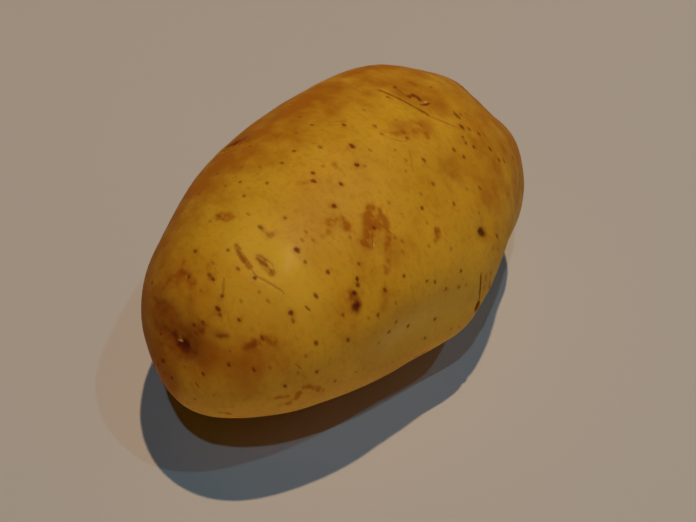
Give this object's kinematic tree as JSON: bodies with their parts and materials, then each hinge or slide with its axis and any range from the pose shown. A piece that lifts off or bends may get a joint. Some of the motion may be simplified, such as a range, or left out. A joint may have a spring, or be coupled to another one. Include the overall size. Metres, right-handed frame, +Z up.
{
  "type": "potato",
  "caption": "Whole oval table potato with shallow eyes, low brows and a stem scar, lying on a small flat spot.",
  "frame": {"origin": "on the surface that the potato lies on, under the middle of its box", "axes": "+X along the potato from its stem end to its rose end, +Y across it, +Z up"},
  "size_m": [0.093, 0.0588, 0.0519],
  "materials": {
    "skin": "washed yellow potato skin, faintly glossy, with brown pores and russet patches"
  },
  "bodies": {
    "root": {"potato": "skin"}
  },
  "joints": []
}
